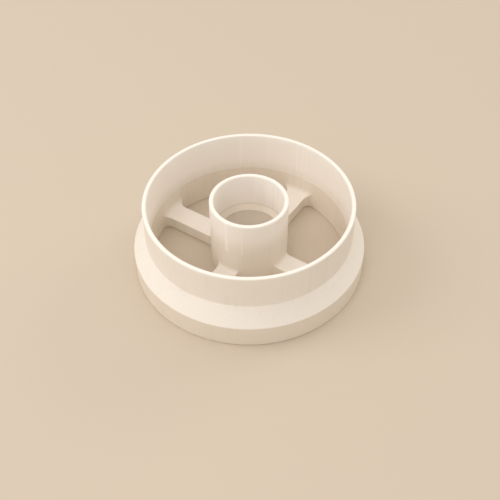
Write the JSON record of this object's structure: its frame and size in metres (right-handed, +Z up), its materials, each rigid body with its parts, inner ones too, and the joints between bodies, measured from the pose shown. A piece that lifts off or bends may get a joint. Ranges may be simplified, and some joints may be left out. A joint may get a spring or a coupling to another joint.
{
  "type": "donut cutter",
  "caption": "Round dough cutter: a thin outer cutting ring on a flared grip collar, with a thin hole-cutting tube on a hub that spokes hold in the middle.",
  "frame": {"origin": "centre of the underside, on the surface that the cutter stands on", "axes": "+Z up along the cutter's axis, towards both cutting edges; X and Y along the spokes"},
  "size_m": [0.0856, 0.0856, 0.0286],
  "materials": {
    "white_pla": "satin, as printed"
  },
  "bodies": {
    "root": {"base_collar": "white_pla", "outer_cutting_ring": "white_pla", "hub_sleeve": "white_pla", "hole_cutting_tube": "white_pla", "spoke_right": "white_pla", "spoke_back": "white_pla", "spoke_left": "white_pla", "spoke_front": "white_pla"}
  },
  "joints": []
}
